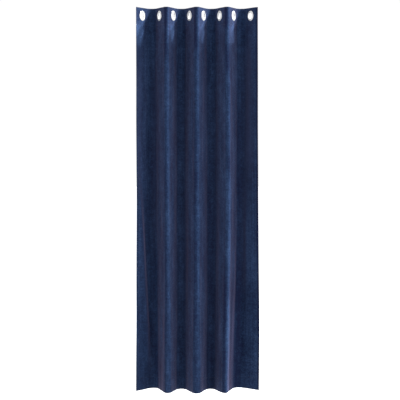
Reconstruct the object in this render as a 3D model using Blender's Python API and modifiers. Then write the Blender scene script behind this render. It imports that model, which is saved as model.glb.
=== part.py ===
"""An eyelet curtain: one panel of navy blackout velvet, hanging from a straight rod line.

The cloth is 1.40 m wide when flat and 2.45 m long. Eight metal eyelets hold it in a zigzag
along the top, so it hangs in four folds that go back and three that come forward, with both
side edges forward. The front faces -Y, and +X runs to the right. The origin is the middle of
the top edge, straight above the rod line.
"""

import math
from collections import namedtuple

import bmesh
import bpy
import numpy as np

# The cloth, in metres. The heading is doubled, and hangs straight to its full depth.
FLAT_WIDTH = 1.40
DROP = 2.45
PANEL_THICKNESS = 0.002
HEADING_DEPTH = 0.11
HEADING_THICKNESS = 0.003
CLEARANCE = 0.0003

# The heading is built in strips, parted where it folds at the back, so that each is a simple
# shape round its own eyelets. The gap between two strips is wider than CLEARANCE, because their
# end faces lean together on the inner side of the fold.
STRIP_GAP = 0.0005
STRIP_END = 0.002

# The eyelets: places along the flat heading, and the ring's profile.
EYELET_COUNT = 8
EYELET_MARGIN = 0.07
EYELET_PITCH = (FLAT_WIDTH - 2 * EYELET_MARGIN) / (EYELET_COUNT - 1)
EYELET_DROP = 0.050
RING_INNER_RADIUS = 0.020
RING_OUTER_RADIUS = 0.0325
BARREL_WALL = 0.0012
FLANGE_CROWN = 0.002
HOLE_CLEARANCE = 0.0006
CUTTER_DEPTH = 0.03
ROUND_STEPS = 24

# The flange's crown from its inner edge to its outer, as shares of its width and height.
Crown = namedtuple("Crown", "across height")
CROWN = [
    Crown(0.00, 0.20),
    Crown(0.12, 0.80),
    Crown(0.55, 1.00),
    Crown(0.88, 0.60),
    Crown(1.00, 0.00),
]

# A section is one flank of the cloth and the fold at its right-hand end. The slope is the
# flank's angle to the rod in degrees, positive where the cloth goes back. The fold is the
# middle of the bend, as a distance along the flat cloth, and the bend is the length of cloth
# that turns there. The sway is how far the fold's line swings aside at mid height.
Section = namedtuple(
    "Section", "slope_top slope_hem fold_top fold_hem bend_top bend_hem sway"
)
SECTIONS = [
    Section(60.1, 47.0, 0.1624, 0.1547, 0.092, 0.106, 0.000),
    Section(-64.5, -71.5, 0.3409, 0.3447, 0.046, 0.068, 0.003),
    Section(66.8, 69.0, 0.5187, 0.5113, 0.095, 0.104, -0.003),
    Section(-64.2, -67.5, 0.7011, 0.6943, 0.046, 0.079, 0.000),
    Section(66.8, 69.5, 0.8787, 0.8719, 0.095, 0.094, 0.004),
    Section(-64.2, -66.0, 1.0611, 1.0375, 0.046, 0.059, 0.008),
    Section(66.8, 74.0, 1.2356, 1.2325, 0.092, 0.116, 0.003),
    Section(-58.4, -37.0, 1.3780, 1.3780, 0.030, 0.030, 0.004),
    Section(-40.0, -34.0, FLAT_WIDTH, FLAT_WIDTH, 0.0, 0.0, 0.004),
]
LEFT_EDGE_TOP = (-0.3810, -0.0607)
LEFT_EDGE_HEM = (-0.3916, -0.0013)
FOLD_KEEPING = 2.4

# How finely the cloth is divided.
BEND_STEPS = 8
FLANK_STEPS = 2
PANEL_ROWS = 16
WALK_STEP = 0.001

VELVET_COLOUR = (0.018, 0.030, 0.085, 1.0)
VELVET_ROUGHNESS = 0.85
METAL_COLOUR = (0.86, 0.87, 0.89, 1.0)
METAL_ROUGHNESS = 0.2


def smoothstep(value):
    value = np.clip(value, 0.0, 1.0)
    return value * value * (3.0 - 2.0 * value)


def level_share(drop):
    """0 along the heading, 1 at the hem. The higher FOLD_KEEPING, the lower the folds change."""
    share = max(drop - HEADING_DEPTH, 0.0) / (DROP - HEADING_DEPTH)
    return float(smoothstep(share**FOLD_KEEPING))


def blended(section, name, share):
    top = getattr(section, name + "_top")
    return top + share * (getattr(section, name + "_hem") - top)


def fold_plan(drop):
    """The cloth's line seen from above at this drop, as distances along it, x and y.

    The line is walked from the left edge with the slope of each flank and bend, so the cloth is
    as wide at every level as it is flat.
    """
    share = level_share(drop)
    along = np.linspace(0.0, FLAT_WIDTH, round(FLAT_WIDTH / WALK_STEP) + 1)
    slope = np.full(len(along), blended(SECTIONS[0], "slope", share))
    for left, right in zip(SECTIONS, SECTIONS[1:]):
        turn = blended(right, "slope", share) - blended(left, "slope", share)
        fold = blended(left, "fold", share)
        bend = blended(left, "bend", share)
        slope += turn * smoothstep((along - fold) / bend + 0.5)
    middle = np.radians((slope[1:] + slope[:-1]) / 2)
    step = along[1]
    x = np.concatenate([[0.0], np.cumsum(np.cos(middle))]) * step
    y = np.concatenate([[0.0], np.cumsum(np.sin(middle))]) * step
    edge = [a + share * (b - a) for a, b in zip(LEFT_EDGE_TOP, LEFT_EDGE_HEM)]
    folds = [0.0] + [blended(section, "fold", share) for section in SECTIONS]
    sways = [0.0] + [section.sway for section in SECTIONS]
    swing = math.sin(math.pi * max(drop - HEADING_DEPTH, 0.0) / (DROP - HEADING_DEPTH))
    x += edge[0] + np.interp(along, folds, sways) * swing
    y += edge[1]
    return along, x, y


def column_distances(drop):
    """Distances along the whole cloth of its columns, which follow each bend down the drop."""
    share = level_share(drop)
    columns = []
    flank_start = 0.0
    for section in SECTIONS:
        fold = blended(section, "fold", share)
        bend = blended(section, "bend", share)
        bend_start = fold - bend / 2
        columns += list(np.linspace(flank_start, bend_start, FLANK_STEPS, endpoint=False))
        if bend:
            columns += list(np.linspace(bend_start, fold + bend / 2, BEND_STEPS, endpoint=False))
        flank_start = fold + bend / 2
    return columns + [FLAT_WIDTH]


def strip_columns(start, end):
    """The heading's columns between two distances, with a short one at each end."""
    inner = [d for d in column_distances(0.0) if start + 2 * STRIP_END < d < end - 2 * STRIP_END]
    return [start, start + STRIP_END] + inner + [end - STRIP_END, end]


def material(name, colour, roughness, metallic):
    result = bpy.data.materials.new(name)
    result.use_nodes = True
    shader = result.node_tree.nodes["Principled BSDF"]
    shader.inputs["Base Color"].default_value = colour
    shader.inputs["Roughness"].default_value = roughness
    shader.inputs["Metallic"].default_value = metallic
    return result


def hung_sheet(name, drops, distances, thickness):
    """A flat grid of cloth, with each point moved to where it hangs, and given its thickness.

    There is a row for each drop, with its own list of distances along the cloth.
    """
    columns = len(distances[0]) - 1
    rows = len(drops) - 1
    sheet = bmesh.new()
    bmesh.ops.create_grid(sheet, x_segments=columns, y_segments=rows, size=0.5)
    plans = [fold_plan(drop) for drop in drops]
    for vertex in sheet.verts:
        column = round((vertex.co.x + 0.5) * columns)
        row = round((0.5 - vertex.co.y) * rows)
        along, x, y = plans[row]
        distance = distances[row][column]
        vertex.co = (np.interp(distance, along, x), np.interp(distance, along, y), -drops[row])
    mesh = bpy.data.meshes.new(name)
    sheet.to_mesh(mesh)
    sheet.free()
    mesh.shade_smooth()
    cloth = bpy.data.objects.new(name, mesh)
    curtain.objects.link(cloth)
    solidify = cloth.modifiers.new("Thickness", "SOLIDIFY")
    solidify.thickness = thickness
    solidify.offset = 0.0
    solidify.use_even_offset = True
    return cloth


def eyelet_places():
    """Each eyelet's centre, and the angle of its flank to the rod."""
    along, x, y = fold_plan(0.0)
    slope = np.arctan2(np.gradient(y), np.gradient(x))
    for index in range(EYELET_COUNT):
        distance = EYELET_MARGIN + index * EYELET_PITCH
        centre = (np.interp(distance, along, x), np.interp(distance, along, y), -EYELET_DROP)
        yield centre, float(np.interp(distance, along, slope))


def face_along_flank(obj, centre, slope):
    """Turns an object made about Z so that its axis is square to the flank, facing the room."""
    obj.location = centre
    obj.rotation_euler = (math.radians(90.0), 0.0, slope)


def hole_cutter(name):
    bpy.ops.mesh.primitive_cylinder_add(
        vertices=ROUND_STEPS,
        radius=RING_INNER_RADIUS + BARREL_WALL + HOLE_CLEARANCE,
        depth=CUTTER_DEPTH,
    )
    cutter = bpy.context.object
    cutter.name = name
    cutter.hide_render = True
    cutter.display_type = "WIRE"
    for collection in list(cutter.users_collection):
        collection.objects.unlink(cutter)
    cutters.objects.link(cutter)
    return cutter


def ring_mesh():
    """The outline of the eyelet's wall: a crowned flange on each face, joined by the barrel."""
    seat = HEADING_THICKNESS / 2 + CLEARANCE
    width = RING_OUTER_RADIUS - RING_INNER_RADIUS
    front = [
        (RING_INNER_RADIUS + width * point.across, seat + FLANGE_CROWN * point.height)
        for point in CROWN
    ]
    front.append((RING_INNER_RADIUS + BARREL_WALL, seat))
    outline = front + [(radius, -height) for radius, height in reversed(front)]
    profile = bmesh.new()
    points = [profile.verts.new((radius, 0.0, height)) for radius, height in outline]
    for index, point in enumerate(points):
        profile.edges.new((points[index - 1], point))
    mesh = bpy.data.meshes.new("eyelet_ring")
    profile.to_mesh(mesh)
    profile.free()
    return mesh


def eyelet_ring(name, mesh, centre, slope):
    ring = bpy.data.objects.new(name, mesh)
    curtain.objects.link(ring)
    turn = ring.modifiers.new("Turn", "SCREW")
    turn.steps = ROUND_STEPS
    turn.render_steps = ROUND_STEPS
    turn.use_merge_vertices = True
    turn.merge_threshold = 0.00005
    face_along_flank(ring, centre, slope)
    return ring


for existing in list(bpy.data.objects):
    bpy.data.objects.remove(existing)

curtain = bpy.data.collections.new("eyelet_curtain")
cutters = bpy.data.collections.new("cutters")
bpy.context.scene.collection.children.link(curtain)
bpy.context.scene.collection.children.link(cutters)

panel_drops = np.linspace(HEADING_DEPTH + CLEARANCE, DROP, PANEL_ROWS + 1)
panel_columns = [column_distances(drop) for drop in panel_drops]
panel = hung_sheet("panel", panel_drops, panel_columns, PANEL_THICKNESS)
panel.data.materials.append(material("panel velvet", VELVET_COLOUR, VELVET_ROUGHNESS, 0.0))

back_folds = [section.fold_top for section in SECTIONS[:-1:2]]
strip_starts = [0.0] + [fold + STRIP_GAP / 2 for fold in back_folds]
strip_ends = [fold - STRIP_GAP / 2 for fold in back_folds] + [FLAT_WIDTH]
headings = []
for number, (start, end) in enumerate(zip(strip_starts, strip_ends), start=1):
    columns = [strip_columns(start, end)] * 2
    heading = hung_sheet(f"heading_{number}", [0.0, HEADING_DEPTH], columns, HEADING_THICKNESS)
    velvet = material(f"heading velvet {number}", VELVET_COLOUR, VELVET_ROUGHNESS, 0.0)
    heading.data.materials.append(velvet)
    headings.append(heading)

# The first and the last strip hold one eyelet each, and those between hold two.
for number, (centre, slope) in enumerate(eyelet_places(), start=1):
    cutter = hole_cutter(f"hole_cutter_{number}")
    face_along_flank(cutter, centre, slope)
    hole = headings[number // 2].modifiers.new(f"Hole {number}", "BOOLEAN")
    hole.operation = "DIFFERENCE"
    hole.object = cutter

    ring = eyelet_ring(f"eyelet_ring_{number}", ring_mesh(), centre, slope)
    ring.data.materials.append(material(f"ring metal {number}", METAL_COLOUR, METAL_ROUGHNESS, 1.0))
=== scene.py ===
import math
from collections import namedtuple

import bmesh
import bpy
import numpy as np
from mathutils import Matrix, Vector


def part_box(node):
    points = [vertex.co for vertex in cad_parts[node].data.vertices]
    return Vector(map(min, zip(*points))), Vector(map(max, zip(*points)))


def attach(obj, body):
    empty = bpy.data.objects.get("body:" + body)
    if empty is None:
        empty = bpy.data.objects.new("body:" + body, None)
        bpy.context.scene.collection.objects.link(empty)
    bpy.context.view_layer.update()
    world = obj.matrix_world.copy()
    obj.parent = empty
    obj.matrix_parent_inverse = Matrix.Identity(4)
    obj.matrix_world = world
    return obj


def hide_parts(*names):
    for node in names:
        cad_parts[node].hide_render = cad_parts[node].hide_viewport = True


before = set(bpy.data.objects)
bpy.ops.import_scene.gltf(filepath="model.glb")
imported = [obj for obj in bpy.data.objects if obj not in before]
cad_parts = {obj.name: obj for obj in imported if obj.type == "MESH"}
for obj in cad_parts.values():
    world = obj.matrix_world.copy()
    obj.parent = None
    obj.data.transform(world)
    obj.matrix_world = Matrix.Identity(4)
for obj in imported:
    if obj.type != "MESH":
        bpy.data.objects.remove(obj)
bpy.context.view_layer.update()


# The velvet panel.
# One length of heavy navy velvet, 1.40 m by 2.45 m when flat, turned over and stitched at the
# heading, the sides and the hem. Eyelets on a straight rod line fold it in a zigzag, which it
# keeps well past half way down before it opens out towards the hem.
FLAT_WIDTH = 1.40
DROP = -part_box("panel")[0].z
HEADING_STRIPS = sorted(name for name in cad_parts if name.startswith("heading"))
HEADING_DEPTH = -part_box(HEADING_STRIPS[0])[0].z
FREE_LENGTH = DROP - HEADING_DEPTH

# A flank is the cloth between two folds, with the fold at its right-hand end. The slope is its
# angle to the rod in degrees, positive where the cloth goes back. The fold is the middle of the
# bend, as a distance along the flat cloth, and the bend is the length of cloth that turns there.
# The sway is how far the fold's line swings aside at mid height.
Flank = namedtuple("Flank", "slope_top slope_hem fold_top fold_hem bend_top bend_hem sway")
FLANKS = [
    Flank(60.1, 47.0, 0.1624, 0.1547, 0.092, 0.106, 0.000),
    Flank(-64.5, -71.5, 0.3409, 0.3447, 0.046, 0.068, 0.003),
    Flank(66.8, 69.0, 0.5187, 0.5113, 0.095, 0.104, -0.003),
    Flank(-64.2, -67.5, 0.7011, 0.6943, 0.046, 0.079, 0.000),
    Flank(66.8, 69.5, 0.8787, 0.8719, 0.095, 0.094, 0.004),
    Flank(-64.2, -66.0, 1.0611, 1.0375, 0.046, 0.059, 0.008),
    Flank(66.8, 74.0, 1.2356, 1.2325, 0.092, 0.116, 0.003),
    Flank(-58.4, -37.0, 1.3780, 1.3780, 0.030, 0.030, 0.004),
    Flank(-40.0, -34.0, FLAT_WIDTH, FLAT_WIDTH, 0.0, 0.0, 0.004),
]
LEFT_EDGE_TOP = (-0.3810, -0.0607)
LEFT_EDGE_HEM = (-0.3916, -0.0013)
FOLD_KEEPING = 2.4
WALK_STEP = 0.001
LEVEL_STEP = 0.01


def smoothstep(value):
    value = np.clip(value, 0.0, 1.0)
    return value * value * (3.0 - 2.0 * value)


def free_drop(drop):
    """How far below the heading a level is."""
    return max(drop - HEADING_DEPTH, 0.0)


def opened(drop):
    """How far the folds have opened out at a level: 0 along the heading, 1 at the hem."""
    return float(smoothstep((free_drop(drop) / FREE_LENGTH) ** FOLD_KEEPING))


def blended(flank, name, share):
    """A flank's value between its top and its hem."""
    top = getattr(flank, name + "_top")
    return top + share * (getattr(flank, name + "_hem") - top)


def fold_plan(drop):
    """The cloth's line seen from above at this drop: x and y at each WALK_STEP along it."""
    share = opened(drop)
    along = np.linspace(0.0, FLAT_WIDTH, round(FLAT_WIDTH / WALK_STEP) + 1)
    slope = np.full(len(along), blended(FLANKS[0], "slope", share))
    for left, right in zip(FLANKS, FLANKS[1:]):
        turn = blended(right, "slope", share) - blended(left, "slope", share)
        fold = blended(left, "fold", share)
        bend = blended(left, "bend", share)
        slope += turn * smoothstep((along - fold) / bend + 0.5)
    middle = np.radians((slope[1:] + slope[:-1]) / 2)
    x = np.concatenate([[0.0], np.cumsum(np.cos(middle))]) * along[1]
    y = np.concatenate([[0.0], np.cumsum(np.sin(middle))]) * along[1]
    edge_x, edge_y = (a + share * (b - a) for a, b in zip(LEFT_EDGE_TOP, LEFT_EDGE_HEM))
    folds = [0.0] + [blended(flank, "fold", share) for flank in FLANKS]
    sways = [0.0] + [flank.sway for flank in FLANKS]
    swing = math.sin(math.pi * free_drop(drop) / FREE_LENGTH)
    return x + edge_x + np.interp(along, folds, sways) * swing, y + edge_y


level_drops = np.linspace(0.0, DROP, round(DROP / LEVEL_STEP) + 1)
level_plans = np.array([fold_plan(drop) for drop in level_drops])
level_slopes = np.unwrap(
    np.arctan2(np.gradient(level_plans[:, 1], axis=1), np.gradient(level_plans[:, 0], axis=1))
)
level_bends = np.gradient(level_slopes, WALK_STEP, axis=1)

# A reading stays this far from a grid's end, so that there is always a next value to blend with.
GRID_END = 1.001


def read_grid(grid, along, drop):
    """A grid of values, by level and by distance along the cloth, read at any place between."""
    column = np.clip(along / WALK_STEP, 0, grid.shape[1] - GRID_END)
    row = np.clip(drop / level_drops[1], 0, grid.shape[0] - GRID_END)
    left, upper = column.astype(int), row.astype(int)
    across, down = column - left, row - upper
    above = grid[upper, left] * (1 - across) + grid[upper, left + 1] * across
    below = grid[upper + 1, left] * (1 - across) + grid[upper + 1, left + 1] * across
    return above * (1 - down) + below * down


# A crease is a soft ridge, or a trough where its height is below 0, that was left in the cloth by
# packing and by the hand. It runs between two places on the flat cloth.
Crease = namedtuple("Crease", "from_along from_drop to_along to_drop width height")
CREASES = [
    Crease(0.014, 0.98, 0.126, 2.48, 0.026, 0.0135),
    Crease(1.275, 1.15, 1.285, 1.95, 0.022, 0.0035),
    Crease(1.300, 1.55, 1.345, 2.30, 0.026, 0.0022),
    Crease(0.240, 0.70, 0.262, 1.60, 0.020, -0.0014),
    Crease(0.610, 1.10, 0.585, 1.95, 0.018, 0.0016),
    Crease(0.800, 0.35, 0.785, 1.15, 0.020, -0.0013),
    Crease(0.960, 1.30, 0.985, 2.20, 0.020, 0.0016),
    Crease(1.150, 0.55, 1.130, 1.60, 0.022, -0.0016),
]
CREASE_TAPER = 3.0

# A ripple is one wave times another. A wave has its turn for each metre along the cloth and for
# each metre down it, and its start, in radians.
Wave = namedtuple("Wave", "along down start")
Ripple = namedtuple("Ripple", "share first second")
RIPPLES = [
    Ripple(1.0, Wave(47.0, 2.1, 0.0), Wave(9.0, 5.3, 0.7)),
    Ripple(0.6, Wave(83.0, -3.7, 1.9), Wave(0.0, 8.9, 2.3)),
]
RIPPLE_HEIGHT = 0.0008
RIPPLE_START = 0.25


def tapered(share, taper):
    """1 along the middle of a line and 0 at its ends. A higher taper falls closer to the ends."""
    return smoothstep(share * taper) * smoothstep((1.0 - share) * taper)


def relief(along, drop):
    """How far the cloth stands out from its folds, towards the room."""
    height = np.zeros(np.broadcast(along, drop).shape)
    for crease in CREASES:
        run = np.array([crease.to_along - crease.from_along, crease.to_drop - crease.from_drop])
        length = np.linalg.norm(run)
        right, down = along - crease.from_along, drop - crease.from_drop
        share = (right * run[0] + down * run[1]) / length**2
        aside = (right * run[1] - down * run[0]) / length
        ridge = np.exp(-((aside / crease.width) ** 2))
        height += crease.height * tapered(share, CREASE_TAPER) * ridge
    rippled = 0.0
    for ripple in RIPPLES:
        first, second = (
            np.sin(along * wave.along + drop * wave.down + wave.start)
            for wave in (ripple.first, ripple.second)
        )
        rippled = rippled + ripple.share * first * second
    free = smoothstep((drop - HEADING_DEPTH) / RIPPLE_START)
    return height + RIPPLE_HEIGHT * free * rippled


# The thickness is the same all over but for what is turned to the back: the doubled heading, the
# hem and a narrow turning down each side. The seams draw both faces in a little.
HALF_THICKNESS = 0.0010
TURNED_LAYER = 0.0011
HEM_DEPTH = 0.080
SIDE_TURNING = 0.025
TURNING_EDGE = 0.0015
STITCH_INSET = 0.003
STITCH_TROUGH = 0.0005
TROUGH_WIDTH = 0.0016


def turned_over(along, drop):
    """How far inside each turned-over area a place on the flat cloth is."""
    return [
        HEADING_DEPTH - drop,
        drop - (DROP - HEM_DEPTH),
        SIDE_TURNING - along,
        along - (FLAT_WIDTH - SIDE_TURNING),
    ]


def thickness(along, drop):
    """Distances from the cloth's middle to its front and to its back."""
    inside = turned_over(along, drop)
    doubled = np.max([smoothstep(depth / TURNING_EDGE + 0.5) for depth in inside], axis=0)
    below_heading = drop > HEADING_DEPTH - 2 * STITCH_INSET
    above_hem = drop < DROP - HEM_DEPTH + 2 * STITCH_INSET
    sewn = [1.0, 1.0, below_heading & above_hem, below_heading & above_hem]
    trough = sum(
        share * np.exp(-(((depth - STITCH_INSET) / TROUGH_WIDTH) ** 2))
        for share, depth in zip(sewn, inside)
    )
    sunk = STITCH_TROUGH * np.minimum(trough, 1.0)
    return HALF_THICKNESS - sunk, HALF_THICKNESS + TURNED_LAYER * doubled - sunk


def unit(vectors):
    return vectors / np.linalg.norm(vectors, axis=-1, keepdims=True)


def folded_place(along, drop):
    """A place on the flat cloth in its folds, without creases or thickness."""
    along, drop = np.clip(along, 0, FLAT_WIDTH), np.clip(drop, 0, DROP)
    x, y = (read_grid(level_plans[:, axis], along, drop) for axis in (0, 1))
    return np.stack([x, y, -drop], axis=-1)


PROBE_STEP = 0.0005


def cloth_place(along, drop):
    """The middle of the cloth at places on the flat cloth, and its normal towards the room."""
    right = folded_place(along + PROBE_STEP, drop) - folded_place(along - PROBE_STEP, drop)
    down = folded_place(along, drop + PROBE_STEP) - folded_place(along, drop - PROBE_STEP)
    normal = unit(np.cross(down, right))
    return folded_place(along, drop) + normal * relief(along, drop)[..., None], normal


# A painted stroke runs on the front only, between two places on the flat cloth. The first list
# paints light and shade: bluer, lighter pools of light and highlights where the strength is above
# 0, darker shade where it is below 0. The second list paints the greyer sheen of grazing light.
PaintedStroke = namedtuple("PaintedStroke", "from_along from_drop to_along to_drop width strength")
# Painted pools of light and highlights where the strength is above 0, painted shade below 0.
PAINTED_LIGHT_STROKES = [
    PaintedStroke(0.026, 0.08, 0.026, 0.26, 0.032, 0.60),
    PaintedStroke(0.082, 0.00, 0.076, 0.18, 0.022, 0.40),
    PaintedStroke(0.120, 0.10, 0.115, 0.95, 0.030, 0.25),
    PaintedStroke(0.050, 1.20, 0.115, 2.30, 0.014, 0.20),
    PaintedStroke(0.162, 0.50, 0.158, 2.80, 0.026, -0.22),
    PaintedStroke(0.215, 1.70, 0.235, 2.90, 0.030, -0.15),
    PaintedStroke(0.337, -0.12, 0.337, 0.36, 0.017, -0.48),
    PaintedStroke(0.330, 0.70, 0.330, 2.90, 0.013, -0.20),
    PaintedStroke(0.408, 0.09, 0.408, 0.235, 0.024, 0.66),
    PaintedStroke(0.435, 0.02, 0.430, 0.19, 0.014, 0.45),
    PaintedStroke(0.695, -0.12, 0.695, 0.30, 0.020, -0.62),
    PaintedStroke(0.690, 0.40, 0.686, 2.90, 0.013, -0.22),
    PaintedStroke(0.768, 0.09, 0.768, 0.235, 0.024, 0.50),
    PaintedStroke(0.792, 0.04, 0.788, 0.19, 0.012, 0.30),
    PaintedStroke(0.872, 0.70, 0.872, 2.90, 0.035, -0.20),
    PaintedStroke(0.960, 0.12, 0.960, 1.60, 0.040, 0.15),
    PaintedStroke(1.035, 1.50, 1.032, 2.80, 0.012, -0.45),
    PaintedStroke(1.050, -0.12, 1.054, 0.16, 0.018, -0.60),
    PaintedStroke(1.062, 0.19, 1.062, 0.44, 0.018, -0.50),
    PaintedStroke(1.080, 0.12, 1.080, 1.25, 0.022, -0.25),
    PaintedStroke(1.068, 1.15, 1.070, 2.10, 0.014, 0.08),
    PaintedStroke(1.074, 1.75, 1.080, 2.80, 0.020, 0.66),
    PaintedStroke(1.128, 1.60, 1.120, 2.90, 0.018, -0.30),
    PaintedStroke(1.160, 1.90, 1.170, 2.90, 0.020, 0.20),
    PaintedStroke(1.124, 0.09, 1.124, 0.245, 0.024, 0.54),
    PaintedStroke(1.145, 0.04, 1.142, 0.19, 0.013, 0.35),
    PaintedStroke(1.222, 0.50, 1.222, 1.50, 0.028, -0.28),
    PaintedStroke(1.222, 1.20, 1.240, 3.10, 0.032, -0.40),
    PaintedStroke(1.288, 1.30, 1.296, 2.30, 0.024, 0.26),
    PaintedStroke(1.290, 0.10, 1.290, 1.25, 0.040, 0.12),
    PaintedStroke(1.330, 1.10, 1.330, 1.85, 0.060, 0.18),
    PaintedStroke(1.385, 0.70, 1.385, 1.05, 0.012, 0.20),
    PaintedStroke(1.398, -0.80, 1.398, 3.20, 0.008, -0.80),
]
# Painted sheen: greyer pile where the flanks catch light at a grazing angle.
PAINTED_SHEEN_STROKES = [
    PaintedStroke(0.030, 0.20, 0.030, 1.30, 0.040, 0.30),
    PaintedStroke(0.046, 1.05, 0.128, 2.45, 0.018, 0.65),
    PaintedStroke(0.195, 0.12, 0.190, 1.70, 0.034, 0.35),
    PaintedStroke(0.460, 0.12, 0.460, 2.60, 0.040, 0.25),
    PaintedStroke(0.562, 0.12, 0.562, 2.60, 0.036, 0.32),
    PaintedStroke(0.820, 0.12, 0.820, 2.60, 0.040, 0.25),
    PaintedStroke(0.924, 0.12, 0.924, 2.60, 0.036, 0.32),
    PaintedStroke(1.165, 1.75, 1.165, 2.80, 0.024, 0.60),
    PaintedStroke(1.300, 0.12, 1.290, 1.20, 0.044, 0.55),
    PaintedStroke(1.265, 1.00, 1.275, 1.90, 0.024, 0.55),
]
STROKE_TAPER = 4.0


def strokes_at(strokes, along, drop):
    """How strongly the strokes show at places on the flat cloth."""
    shown = np.zeros(along.shape)
    for stroke in strokes:
        share = (drop - stroke.from_drop) / (stroke.to_drop - stroke.from_drop)
        aside = along - stroke.from_along - share * (stroke.to_along - stroke.from_along)
        width = np.exp(-((aside / stroke.width) ** 2))
        shown += stroke.strength * tapered(share, STROKE_TAPER) * width
    return shown


# The mesh's columns are closest in the folds and over the side turnings, and its rows are closest
# over the two long seams.
BEND_COLUMNS = 15
NARROW_BEND = 0.04
NARROW_BEND_COLUMNS = 4
FLANK_COLUMNS = 12
LAST_FLANK_COLUMNS = 3
EDGE_COLUMNS = [0.0, 0.0010, 0.0025, 0.0190, 0.0205, 0.0220, 0.0235, 0.0250, 0.0265]
EDGE_REACH = 0.030
ROW_STEP = 0.0135
ROW_MARGIN = 0.003
SEAM_ROWS = np.linspace(-0.0045, 0.0075, 9)
SEAM_CLEARANCE = 0.006
EDGE_ROW = 0.0012
RIM_BULGE = 0.6
HEADING_SEAM = HEADING_DEPTH - STITCH_INSET
HEM_SEAM = DROP - HEM_DEPTH + STITCH_INSET


def column_places(drop):
    """Distances along the cloth of the mesh's columns at this drop."""
    share = opened(drop)
    places = []
    start = 0.0
    for flank in FLANKS:
        fold = blended(flank, "fold", share)
        bend = blended(flank, "bend", share)
        steps = FLANK_COLUMNS if bend else LAST_FLANK_COLUMNS
        places += list(np.linspace(start, fold - bend / 2, steps, endpoint=False))
        if bend:
            steps = BEND_COLUMNS if bend > NARROW_BEND else NARROW_BEND_COLUMNS
            places += list(np.linspace(fold - bend / 2, fold + bend / 2, steps, endpoint=False))
        start = fold + bend / 2
    inner = [place for place in places if EDGE_REACH < place < FLAT_WIDTH - EDGE_REACH]
    right_edge = [FLAT_WIDTH - place for place in reversed(EDGE_COLUMNS)]
    return np.array(EDGE_COLUMNS + inner + right_edge)


def row_places():
    close = np.concatenate([seam + SEAM_ROWS for seam in (HEADING_SEAM, HEM_SEAM)])
    plain = np.linspace(ROW_MARGIN, DROP - ROW_MARGIN, round(DROP / ROW_STEP))
    apart = [place for place in plain if np.abs(close - place).min() > SEAM_CLEARANCE]
    return np.sort(np.concatenate([[0.0, EDGE_ROW, DROP - EDGE_ROW, DROP], close, apart]))


def rim_directions(middle, rim):
    """Outward directions round the cloth's edge, in its own surface."""
    edge = middle.reshape(-1, 3)[rim]
    run = np.roll(edge, -1, axis=0) - np.roll(edge, 1, axis=0)
    normal = unit(np.cross(np.gradient(middle, axis=0), np.gradient(middle, axis=1)))
    return unit(np.cross(run, normal.reshape(-1, 3)[rim]))


def cloth_mesh():
    """The cloth as a front and a back, joined all round by a rim."""
    drops = row_places()
    grid = np.stack([column_places(drop) for drop in drops])
    drop = np.broadcast_to(drops[:, None], grid.shape)
    middle, normal = cloth_place(grid, drop)
    front, back = thickness(grid, drop)
    sides = [middle + normal * front[..., None], middle - normal * back[..., None]]
    points = np.concatenate([side.reshape(-1, 3) for side in sides])

    behind = grid.size
    index = np.arange(grid.size).reshape(grid.shape)
    corners = [index[:-1, :-1], index[1:, :-1], index[1:, 1:], index[:-1, 1:]]
    front_faces = np.stack(corners, axis=-1).reshape(-1, 4)

    # The rim bulges a little, as a turned edge does.
    rim = np.concatenate([index[:-1, 0], index[-1, :-1], index[:0:-1, -1], index[0, :0:-1]])
    outward = rim_directions(middle, rim)
    bulge = (points[rim] + points[rim + behind]) / 2 + outward * HALF_THICKNESS * RIM_BULGE
    edge = len(points) + np.arange(len(rim))
    next_edge, next_rim = np.roll(edge, -1), np.roll(rim, -1)
    faces = np.concatenate([
        front_faces,
        front_faces[:, ::-1] + behind,
        np.stack([rim, edge, next_edge, next_rim], axis=-1),
        np.stack([edge, rim + behind, next_rim + behind, next_edge], axis=-1),
    ])
    mesh = bpy.data.meshes.new("velvet_panel")
    mesh.from_pydata(np.concatenate([points, bulge]).tolist(), [], faces.tolist())
    map_cloth(mesh, grid, drop, rim)
    paint_pile_light(mesh, grid, drop, rim)
    return mesh


def with_rim(front, back, rim):
    """Values of the front's points, of the back's and of the rim's, which are as the front's."""
    values = np.concatenate([front, back])
    return np.concatenate([values, values[rim]]).astype(np.float32)


def map_cloth(mesh, grid, drop, rim):
    """Maps the mesh to the flat cloth, in metres."""
    flat = np.stack([grid, DROP - drop], axis=-1).reshape(-1, 2)
    corners = np.empty(len(mesh.loops), np.int32)
    mesh.loops.foreach_get("vertex_index", corners)
    layer = mesh.uv_layers.new(name="cloth_metres")
    layer.data.foreach_set("uv", with_rim(flat, flat, rim)[corners].ravel())


# Painted highlight along the folds that bend outwards and painted shade along those that bend
# inwards, both shifted a little to the right of each fold, where the light catches. Bends are in
# radians a metre.
SHARPEST_BEND = 75.0
FOLD_HIGHLIGHT_SHIFT = 0.014


def paint_pile_light(mesh, grid, drop, rim):
    """Notes on the mesh the painted light and shade of the folds and of the strokes, and the
    painted sheen.
    """
    spread = (read_grid(level_bends, grid - FOLD_HIGHLIGHT_SHIFT, drop) / SHARPEST_BEND).ravel() ** 3
    smoothed, raised = (strokes_at(strokes, grid, drop).ravel() for strokes in (PAINTED_LIGHT_STROKES, PAINTED_SHEEN_STROKES))
    unpainted = np.zeros(grid.size)
    painted_marks = {
        "spread": (spread, -spread),
        "smoothed": (smoothed, unpainted),
        "raised": (raised, unpainted),
    }
    for label, (front, back) in painted_marks.items():
        attribute = mesh.attributes.new(label, "FLOAT", "POINT")
        attribute.data.foreach_set("value", with_rim(front, back, rim))


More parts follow.
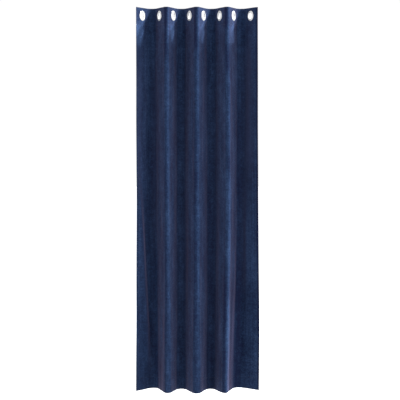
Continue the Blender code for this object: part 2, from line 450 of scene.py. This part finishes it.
class Socket:
    """A node's socket. Sums and products of it add Math nodes, and node() adds any other node."""

    def __init__(self, tree, out):
        self.tree, self.out = tree, out

    def node(self, kind, settings, sockets):
        made = self.tree.nodes.new(kind)
        for name, value in settings.items():
            if name == "stops":
                while len(made.color_ramp.elements) < len(value):
                    made.color_ramp.elements.new(0.5)
                for element, (position, colour) in zip(made.color_ramp.elements, value):
                    element.position, element.color = position, colour
            else:
                setattr(made, name, value)
        for name, value in sockets.items():
            if isinstance(value, Socket):
                self.tree.links.new(value.out, made.inputs[name])
            else:
                made.inputs[name].default_value = value
        return Socket(self.tree, made.outputs[0])

    def output(self, name):
        return Socket(self.tree, self.out.node.outputs[name])

    def into(self, node, name):
        self.tree.links.new(self.out, node.inputs[name])

    def math(self, operation, first, second):
        return self.node("ShaderNodeMath", {"operation": operation}, {0: first, 1: second})

    def __add__(self, other):
        return self.math("ADD", self, other)

    def __radd__(self, other):
        return self.math("ADD", other, self)

    def __sub__(self, other):
        return self.math("SUBTRACT", self, other)

    def __rsub__(self, other):
        return self.math("SUBTRACT", other, self)

    def __mul__(self, other):
        return self.math("MULTIPLY", self, other)

    def __rmul__(self, other):
        return self.math("MULTIPLY", other, self)

    def __truediv__(self, other):
        return self.math("DIVIDE", self, other)

    def __rtruediv__(self, other):
        return self.math("DIVIDE", other, self)


def new_finish(name, constants):
    """A new material, its shader with these constants, and a socket of its tree to build from."""
    material = bpy.data.materials.new(name)
    material.use_nodes = True
    shader = material.node_tree.nodes["Principled BSDF"]
    for label, value in constants.items():
        shader.inputs[label].default_value = value
    return material, shader, Socket(material.node_tree, shader.outputs[0])


def noise(place, scale, detail=2.0, roughness=0.5):
    sockets = {"Vector": place, "Scale": scale, "Detail": detail, "Roughness": roughness}
    return place.node("ShaderNodeTexNoise", {}, sockets)


def ramp(factor, *stops):
    return factor.node("ShaderNodeValToRGB", {"stops": stops}, {"Fac": factor})


# The velvet's finish is a short dense pile, clumped by handling, its tone varying at random. Its
# colour also holds painted shade in the inward folds and painted highlights on the outward ones,
# the painted light and shade of the strokes, and painted greyer sheen. Its patterns are in metres
# on the flat cloth.
# The ramp's dark end is reached by painted shade as well as by the pile's random tone, and its two
# light stops by painted highlights and pools of light as well.
PILE_DARK = (0.0044, 0.0094, 0.0395, 1.0)
PILE_BLUE = (0.0120, 0.0290, 0.0800, 1.0)
PILE_LIGHT = (0.0300, 0.0620, 0.1520, 1.0)
PILE_PAINTED_HIGHLIGHT = (0.0500, 0.1150, 0.2500, 1.0)
PILE_PAINTED_SHEEN = (0.0330, 0.0420, 0.1000, 1.0)
VELVET_CONSTANTS = {
    "Sheen Weight": 0.56,
    "Sheen Roughness": 0.31,
    "Sheen Tint": (0.75, 0.53, 0.76, 1.0),
    "Specular IOR Level": 0.12,
}
STREAK_STRETCH = (1.0, 0.06, 1.0)
BLOTCH_STRETCH = (1.0, 0.45, 1.0)
LIE_CONTRAST = 4.5
LIE_LEVEL = 1.75
FOLD_LIGHT_SHADE_STRENGTH = 0.34
LIGHT_REACH = 1.5
PAINTED_SHEEN_SHOWN = 2.0


def velvet_finish():
    material, shader, start = new_finish("navy_velvet", VELVET_CONSTANTS)
    flat = start.node("ShaderNodeUVMap", {"uv_map": "cloth_metres"}, {})
    stretched, blotched = (
        start.node("ShaderNodeMapping", {}, {"Vector": flat, "Scale": scale})
        for scale in (STREAK_STRETCH, BLOTCH_STRETCH)
    )
    blotches = noise(blotched, 9.0, detail=1.0)
    patches = noise(flat, 24.0, detail=3.0, roughness=0.6)
    clumps = noise(flat, 85.0, detail=4.0, roughness=0.65)
    streaks = noise(stretched, 55.0)
    pile = noise(flat, 1400.0, roughness=0.7)
    lie = 0.15 * blotches + 0.20 * patches + 0.38 * clumps + 0.17 * streaks + 0.10 * pile
    spread, smoothed, raised = (
        start.node("ShaderNodeAttribute", {"attribute_name": label}, {}).output("Fac")
        for label in ("spread", "smoothed", "raised")
    )
    # The pile's random tone, plus painted highlight and shade from the folds and the strokes.
    light = lie * LIE_CONTRAST - LIE_LEVEL + FOLD_LIGHT_SHADE_STRENGTH * spread + smoothed
    blue = ramp(
        light / LIGHT_REACH,
        (0.0, PILE_DARK),
        (0.33, PILE_BLUE),
        (0.67, PILE_LIGHT),
        (1.0, PILE_PAINTED_HIGHLIGHT),
    )
    # Painted sheen mixes a greyer colour into the pile.
    colour = start.node(
        "ShaderNodeMix",
        {"data_type": "RGBA"},
        {"Factor": raised * lie * PAINTED_SHEEN_SHOWN, "A": blue, "B": PILE_PAINTED_SHEEN},
    ).output("Result")
    colour.into(shader, "Base Color")
    (0.95 - 0.25 * lie).into(shader, "Roughness")
    height = clumps * 0.5 + pile * 0.35 + patches * 0.8
    bump = start.node(
        "ShaderNodeBump", {}, {"Strength": 0.55, "Distance": 0.0012, "Height": height}
    )
    bump.into(shader, "Normal")
    return material


# The eyelet holes stand at even distances along the flat heading, in line with the frame's rings,
# and go square through each flank.
EYELETS = sorted(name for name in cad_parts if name.startswith("eyelet_ring"))
EYELET_DROP = 0.050
EYELET_MARGIN = 0.070
HOLE_RADIUS = 0.0218
HOLE_FACETS = 64
DRILL_LENGTH = 0.03
SHARP_EDGE = math.radians(50.0)
eyelet_centres, eyelet_facings = cloth_place(
    np.linspace(EYELET_MARGIN, FLAT_WIDTH - EYELET_MARGIN, len(EYELETS)),
    np.full(len(EYELETS), EYELET_DROP),
)


def drill(centres, facings):
    """One mesh of cylinders, each through the cloth at its centre."""
    drills = bmesh.new()
    for centre, facing in zip(centres, facings):
        turn = Vector(facing).to_track_quat("Z", "Y").to_matrix().to_4x4()
        bmesh.ops.create_cone(
            drills,
            cap_ends=True,
            segments=HOLE_FACETS,
            radius1=HOLE_RADIUS,
            radius2=HOLE_RADIUS,
            depth=DRILL_LENGTH,
            matrix=Matrix.Translation(centre) @ turn,
        )
    mesh = bpy.data.meshes.new("drill")
    drills.to_mesh(mesh)
    drills.free()
    return bpy.data.objects.new("drill", mesh)


def made_plain(obj, name):
    """The object as its modifiers leave it, as a plain mesh object in its place."""
    graph = bpy.context.evaluated_depsgraph_get()
    mesh = bpy.data.meshes.new_from_object(obj.evaluated_get(graph))
    mesh.name = name
    plain = bpy.data.objects.new(name, mesh)
    bpy.context.scene.collection.objects.link(plain)
    bpy.data.objects.remove(obj)
    return plain


uncut = bpy.data.objects.new("uncut", cloth_mesh())
drills = drill(eyelet_centres, eyelet_facings)
for obj in (uncut, drills):
    bpy.context.scene.collection.objects.link(obj)
cut = uncut.modifiers.new("Eyelet holes", "BOOLEAN")
cut.operation = "DIFFERENCE"
cut.object = drills
velvet_panel = made_plain(uncut, "velvet_panel")
bpy.data.objects.remove(drills)
velvet_panel.data.shade_smooth()
velvet_panel.data.set_sharp_from_angle(angle=SHARP_EDGE)
velvet_panel.data.materials.clear()
velvet_panel.data.materials.append(velvet_finish())
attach(velvet_panel, "root")
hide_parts("panel", *HEADING_STRIPS)


# The eyelets.
# Eight eyelets of nickel-plated steel. Each is a crowned front half with a barrel, pressed
# through the doubled cloth and rolled over a plain washer at the back.
RingPoint = namedtuple("RingPoint", "radius height")
FRONT_HALF = [
    RingPoint(0.0210, 0.0010),
    RingPoint(0.0318, 0.0009),
    RingPoint(0.0317, 0.0018),
    RingPoint(0.0295, 0.0031),
    RingPoint(0.0262, 0.0038),
    RingPoint(0.0224, 0.0035),
    RingPoint(0.0202, 0.0024),
    RingPoint(0.0200, 0.0000),
    RingPoint(0.0200, -0.0034),
    RingPoint(0.0206, -0.0043),
    RingPoint(0.0222, -0.0044),
    RingPoint(0.0234, -0.0037),
    RingPoint(0.0226, -0.0033),
    RingPoint(0.0212, -0.0034),
]
WASHER = [
    RingPoint(0.0212, -0.0021),
    RingPoint(0.0212, -0.0030),
    RingPoint(0.0240, -0.0032),
    RingPoint(0.0295, -0.0031),
    RingPoint(0.0316, -0.0027),
    RingPoint(0.0315, -0.0020),
]
CORNER_CUTS = 2
CORNER_SHARE = 0.25
RING_STEPS = 72


def softened(outline):
    """A closed outline with its corners cut, so that they turn as pressed metal does."""
    points = np.array([(point.radius, point.height) for point in outline])
    for _ in range(CORNER_CUTS):
        following = np.roll(points, -1, axis=0)
        near = points * (1 - CORNER_SHARE) + following * CORNER_SHARE
        far = points * CORNER_SHARE + following * (1 - CORNER_SHARE)
        points = np.stack([near, far], axis=1).reshape(-1, 2)
    return points


def turned(outlines):
    """A mesh of closed outlines turned about the Z axis."""
    mesh = bmesh.new()
    for outline in outlines:
        rings = []
        for step in range(RING_STEPS):
            turn = 2 * math.pi * step / RING_STEPS
            rings.append([
                mesh.verts.new((radius * math.cos(turn), radius * math.sin(turn), height))
                for radius, height in outline
            ])
        for here, there in zip(rings, rings[1:] + rings[:1]):
            for point in range(len(outline)):
                mesh.faces.new((here[point - 1], there[point - 1], there[point], here[point]))
    result = bpy.data.meshes.new("eyelet")
    mesh.to_mesh(result)
    mesh.free()
    return result


# The plate is milky, so that it scatters much of the light as well as mirroring it.
PLATE_METALLIC = 0.25
PLATE_WORN = (0.84, 0.84, 0.83, 1.0)
PLATE_BRIGHT = (0.90, 0.90, 0.90, 1.0)


def nickel_finish():
    material, shader, start = new_finish("bright_nickel", {"Metallic": PLATE_METALLIC})
    place = start.node("ShaderNodeTexCoord", {}, {}).output("Object")
    wear = noise(place, 140.0, detail=4.0)
    ramp(wear, (0.3, PLATE_WORN), (0.7, PLATE_BRIGHT)).into(shader, "Base Color")
    (0.26 + 0.12 * wear).into(shader, "Roughness")
    fine = noise(place, 2600.0)
    bump = start.node(
        "ShaderNodeBump", {}, {"Strength": 0.05, "Distance": 0.0002, "Height": fine}
    )
    bump.into(shader, "Normal")
    return material


def new_tree(name, inputs):
    """A Geometry Nodes tree with named inputs, as a socket of each by name."""
    tree = bpy.data.node_groups.new(name, "GeometryNodeTree")
    for label, kind in {"Geometry": "NodeSocketGeometry", **inputs}.items():
        tree.interface.new_socket(label, in_out="INPUT", socket_type=kind)
    tree.interface.new_socket("Geometry", in_out="OUTPUT", socket_type="NodeSocketGeometry")
    first = Socket(tree, tree.nodes.new("NodeGroupInput").outputs[0])
    return tree, {label: first.output(label) for label in ["Geometry", *inputs]}


def point_vector(points, name):
    """A vector that each point carries."""
    settings = {"data_type": "FLOAT_VECTOR"}
    return points.node("GeometryNodeInputNamedAttribute", settings, {"Name": name})


def finish_tree(tree, instances, material):
    """Ends a tree: its instances made real, smooth, and in their material."""
    real = instances.node("GeometryNodeRealizeInstances", {}, {"Geometry": instances})
    smooth = real.node("GeometryNodeSetShadeSmooth", {}, {"Geometry": real})
    painted = real.node("GeometryNodeSetMaterial", {}, {"Geometry": smooth, "Material": material})
    painted.into(tree.nodes.new("NodeGroupOutput"), "Geometry")


def grown(name, tree, places, vectors, values):
    """The tree's result on a mesh of bare points, each with the named vectors, as a plain mesh."""
    mesh = bpy.data.meshes.new(name)
    mesh.from_pydata([tuple(place) for place in places], [], [])
    for label, rows in vectors.items():
        attribute = mesh.attributes.new(label, "FLOAT_VECTOR", "POINT")
        attribute.data.foreach_set("vector", np.asarray(rows, np.float32).ravel())
    seeds = bpy.data.objects.new(name + "_places", mesh)
    bpy.context.scene.collection.objects.link(seeds)
    modifier = seeds.modifiers.new("Grow", "NODES")
    modifier.node_group = tree
    for item in tree.interface.items_tree:
        if item.in_out == "INPUT" and item.name in values:
            modifier[item.identifier] = values[item.name]
    return made_plain(seeds, name)


eyelet_mesh = turned([softened(FRONT_HALF), softened(WASHER)])
eyelet = bpy.data.objects.new("eyelet", eyelet_mesh)
eyelet_tree, given = new_tree(
    "Eyelets", {"Eyelet": "NodeSocketObject", "Metal": "NodeSocketMaterial"}
)
facing = point_vector(given["Geometry"], "facing")
turn = facing.node("FunctionNodeAlignRotationToVector", {"axis": "Z"}, {"Vector": facing})
shape = facing.node("GeometryNodeObjectInfo", {}, {"Object": given["Eyelet"]}).output("Geometry")
rings = facing.node(
    "GeometryNodeInstanceOnPoints",
    {},
    {"Points": given["Geometry"], "Instance": shape, "Rotation": turn},
)
finish_tree(eyelet_tree, rings, given["Metal"])
eyelets = grown(
    "eyelets",
    eyelet_tree,
    eyelet_centres,
    {"facing": eyelet_facings},
    {"Eyelet": eyelet, "Metal": nickel_finish()},
)
bpy.data.objects.remove(eyelet)
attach(eyelets, "root")
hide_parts(*EYELETS)


# The stitching.
# Straight lockstitch in a thread of the cloth's own navy, sunk a little into the pile on both
# faces, along the foot of the heading, down both side turnings and round the top of the hem.
STITCH_PITCH = 0.0045
STITCH_LENGTH = 0.0036
STITCH_SEED = 11
THREAD_THICKNESS = 0.0007
THREAD_FLATNESS = 0.8
THREAD_STANDING = 0.15
THREAD_SLACK = math.radians(7.0)
THREAD_DARK = (0.012, 0.021, 0.055, 1.0)
THREAD_LIGHT = (0.022, 0.038, 0.092, 1.0)

Seam = namedtuple("Seam", "from_along from_drop to_along to_drop")
SEAM_END = 0.004
SIDE_SEAM = SIDE_TURNING - STITCH_INSET
SEAMS = [
    Seam(SEAM_END, HEADING_SEAM, FLAT_WIDTH - SEAM_END, HEADING_SEAM),
    Seam(SEAM_END, HEM_SEAM, FLAT_WIDTH - SEAM_END, HEM_SEAM),
    Seam(SIDE_SEAM, HEADING_SEAM, SIDE_SEAM, HEM_SEAM),
    Seam(FLAT_WIDTH - SIDE_SEAM, HEADING_SEAM, FLAT_WIDTH - SIDE_SEAM, HEM_SEAM),
]


def stitches():
    """Every stitch's middle, the way it runs and the way it faces, on the front and the back."""
    places, runs, facings = [], [], []
    for seam in SEAMS:
        length = math.hypot(seam.to_along - seam.from_along, seam.to_drop - seam.from_drop)
        share = (np.arange(int(length / STITCH_PITCH)) + 0.5) * STITCH_PITCH / length
        along = seam.from_along + share * (seam.to_along - seam.from_along)
        drop = seam.from_drop + share * (seam.to_drop - seam.from_drop)
        middle, normal = cloth_place(along, drop)
        run = np.gradient(middle, axis=0)
        front, back = thickness(along, drop)
        for side, depth in ((1.0, front), (-1.0, back)):
            height = depth + THREAD_THICKNESS * THREAD_STANDING
            places.append(middle + side * normal * height[:, None])
            runs.append(run)
            facings.append(side * normal)
    return np.concatenate(places), np.concatenate(runs), np.concatenate(facings)


def thread_finish():
    constants = {"Roughness": 0.5, "Sheen Weight": 0.3}
    material, shader, start = new_finish("navy_thread", constants)
    place = start.node("ShaderNodeTexCoord", {}, {}).output("Object")
    fibre = noise(place, 900.0)
    ramp(fibre, (0.3, THREAD_DARK), (0.7, THREAD_LIGHT)).into(shader, "Base Color")
    return material


stitch_tree, given = new_tree("Stitches", {
    "Length": "NodeSocketFloat",
    "Thickness": "NodeSocketFloat",
    "Slack": "NodeSocketFloat",
    "Seed": "NodeSocketInt",
    "Thread": "NodeSocketMaterial",
})
run, facing = (point_vector(given["Geometry"], name) for name in ("run", "facing"))
along_run = run.node("FunctionNodeAlignRotationToVector", {"axis": "Z"}, {"Vector": run})
upright = run.node(
    "FunctionNodeAlignRotationToVector",
    {"axis": "X", "pivot_axis": "Z"},
    {"Rotation": along_run, "Vector": facing},
)
slack = run.node(
    "FunctionNodeRandomValue",
    {"data_type": "FLOAT"},
    {2: 0.0 - given["Slack"], 3: given["Slack"], "Seed": given["Seed"]},
).output(1)
askew = run.node(
    "FunctionNodeAxisAngleToRotation", {}, {"Axis": (1.0, 0.0, 0.0), "Angle": slack}
)
turn = run.node(
    "FunctionNodeRotateRotation",
    {"rotation_space": "LOCAL"},
    {"Rotation": upright, "Rotate By": askew},
)
bead = run.node("GeometryNodeMeshUVSphere", {}, {"Segments": 6, "Rings": 4, "Radius": 0.5})
size = run.node(
    "ShaderNodeCombineXYZ",
    {},
    {
        "X": given["Thickness"] * THREAD_FLATNESS,
        "Y": given["Thickness"],
        "Z": given["Length"],
    },
)
threads = run.node(
    "GeometryNodeInstanceOnPoints",
    {},
    {"Points": given["Geometry"], "Instance": bead, "Rotation": turn, "Scale": size},
)
finish_tree(stitch_tree, threads, given["Thread"])
stitch_places, stitch_runs, stitch_facings = stitches()
stitching = grown(
    "stitching",
    stitch_tree,
    stitch_places,
    {"run": stitch_runs, "facing": stitch_facings},
    {
        "Length": STITCH_LENGTH,
        "Thickness": THREAD_THICKNESS,
        "Slack": THREAD_SLACK,
        "Seed": STITCH_SEED,
        "Thread": thread_finish(),
    },
)
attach(stitching, "root")


# The floor, the lights and the camera.
# A pale studio floor lies a little below the hem. A wide soft light stands on either side and a
# narrow one in front, a small one high on the far right lights the top, and one behind fills the
# back. The camera is at eye height, straight in front.
FLOOR_GAP = 0.10
FLOOR_SIDE = 60.0
FLOOR_GLOW = 0.75
FLOOR_DARK = (0.84, 0.84, 0.84, 1.0)
FLOOR_LIGHT = (0.86, 0.86, 0.86, 1.0)


def pale_floor():
    constants = {
        "Roughness": 0.9,
        "Emission Color": (1.0, 1.0, 1.0, 1.0),
        "Emission Strength": FLOOR_GLOW,
    }
    material, shader, start = new_finish("pale_floor", constants)
    place = start.node("ShaderNodeTexCoord", {}, {}).output("Object")
    grain = noise(place, 8.0)
    ramp(grain, (0.3, FLOOR_DARK), (0.7, FLOOR_LIGHT)).into(shader, "Base Color")
    return material


bpy.ops.mesh.primitive_plane_add(size=FLOOR_SIDE, location=(0, 0, -DROP - FLOOR_GAP))
floor = bpy.context.object
floor.name = "floor"
floor.data.materials.append(pale_floor())
floor.visible_diffuse = False

# The white surroundings are dimmer as a light than they look to the camera and in the metal.
SKY_LIGHT = 0.54
SKY_SEEN = 0.48
world = bpy.data.worlds.new("studio")
bpy.context.scene.world = world
world.use_nodes = True
background = world.node_tree.nodes["Background"]
background.inputs["Color"].default_value = (1.0, 1.0, 1.0, 1.0)
sky = Socket(world.node_tree, background.outputs[0])
rays = sky.node("ShaderNodeLightPath", {}, {})
seen = sky.math("MAXIMUM", rays.output("Is Camera Ray"), rays.output("Is Glossy Ray"))
(SKY_LIGHT + SKY_SEEN * seen).into(background, "Strength")

# A light's azimuth is its turn to the right of straight in front, in degrees, and its aim is the
# height that it points at.
Light = namedtuple("Light", "name azimuth distance height width tall power colour aim")
WHITE = (1.0, 1.0, 1.0)
COOL = (0.94, 0.98, 1.0)
MIDDLE = -DROP / 2
LIGHTS = [
    Light("right_softbox", 50.0, 5.0, -1.1, 4.4, 3.6, 160.0, WHITE, MIDDLE),
    Light("left_softbox", -48.0, 5.0, -1.1, 3.4, 3.6, 74.0, WHITE, MIDDLE),
    Light("front_right", 18.0, 4.5, -0.6, 1.3, 2.2, 20.0, WHITE, MIDDLE),
    Light("top_spot", 93.0, 3.0, 3.4, 0.8, 0.8, 420.0, COOL, -0.1),
    Light("back_fill", 180.0, 4.0, 0.4, 2.5, 2.0, 60.0, WHITE, MIDDLE),
]


def hang_light(light):
    data = bpy.data.lights.new(light.name, "AREA")
    data.shape = "RECTANGLE"
    data.size, data.size_y = light.width, light.tall
    data.energy = light.power
    data.color = light.colour
    lamp = bpy.data.objects.new(light.name, data)
    bpy.context.scene.collection.objects.link(lamp)
    turn = math.radians(light.azimuth)
    lamp.location = (
        light.distance * math.sin(turn),
        -light.distance * math.cos(turn),
        light.height,
    )
    towards = Vector((0, 0, light.aim)) - lamp.location
    lamp.rotation_euler = towards.to_track_quat("-Z", "Y").to_euler()
    lamp.visible_camera = False


for light in LIGHTS:
    hang_light(light)

EYE_HEIGHT = 1.695
CAMERA_PLACE = (0.0191, -7.95, EYE_HEIGHT - DROP)
CAMERA_TILT = math.radians(3.33)
CAMERA_LENS = 112.27
SENSOR = 36.0
lens = bpy.data.cameras.new("camera")
lens.sensor_width = SENSOR
lens.lens = CAMERA_LENS
camera = bpy.data.objects.new("camera", lens)
bpy.context.scene.collection.objects.link(camera)
camera.location = CAMERA_PLACE
camera.rotation_euler = (math.radians(90.0) - CAMERA_TILT, 0.0, 0.0)
bpy.context.scene.camera = camera
bpy.context.scene.view_settings.view_transform = "Standard"
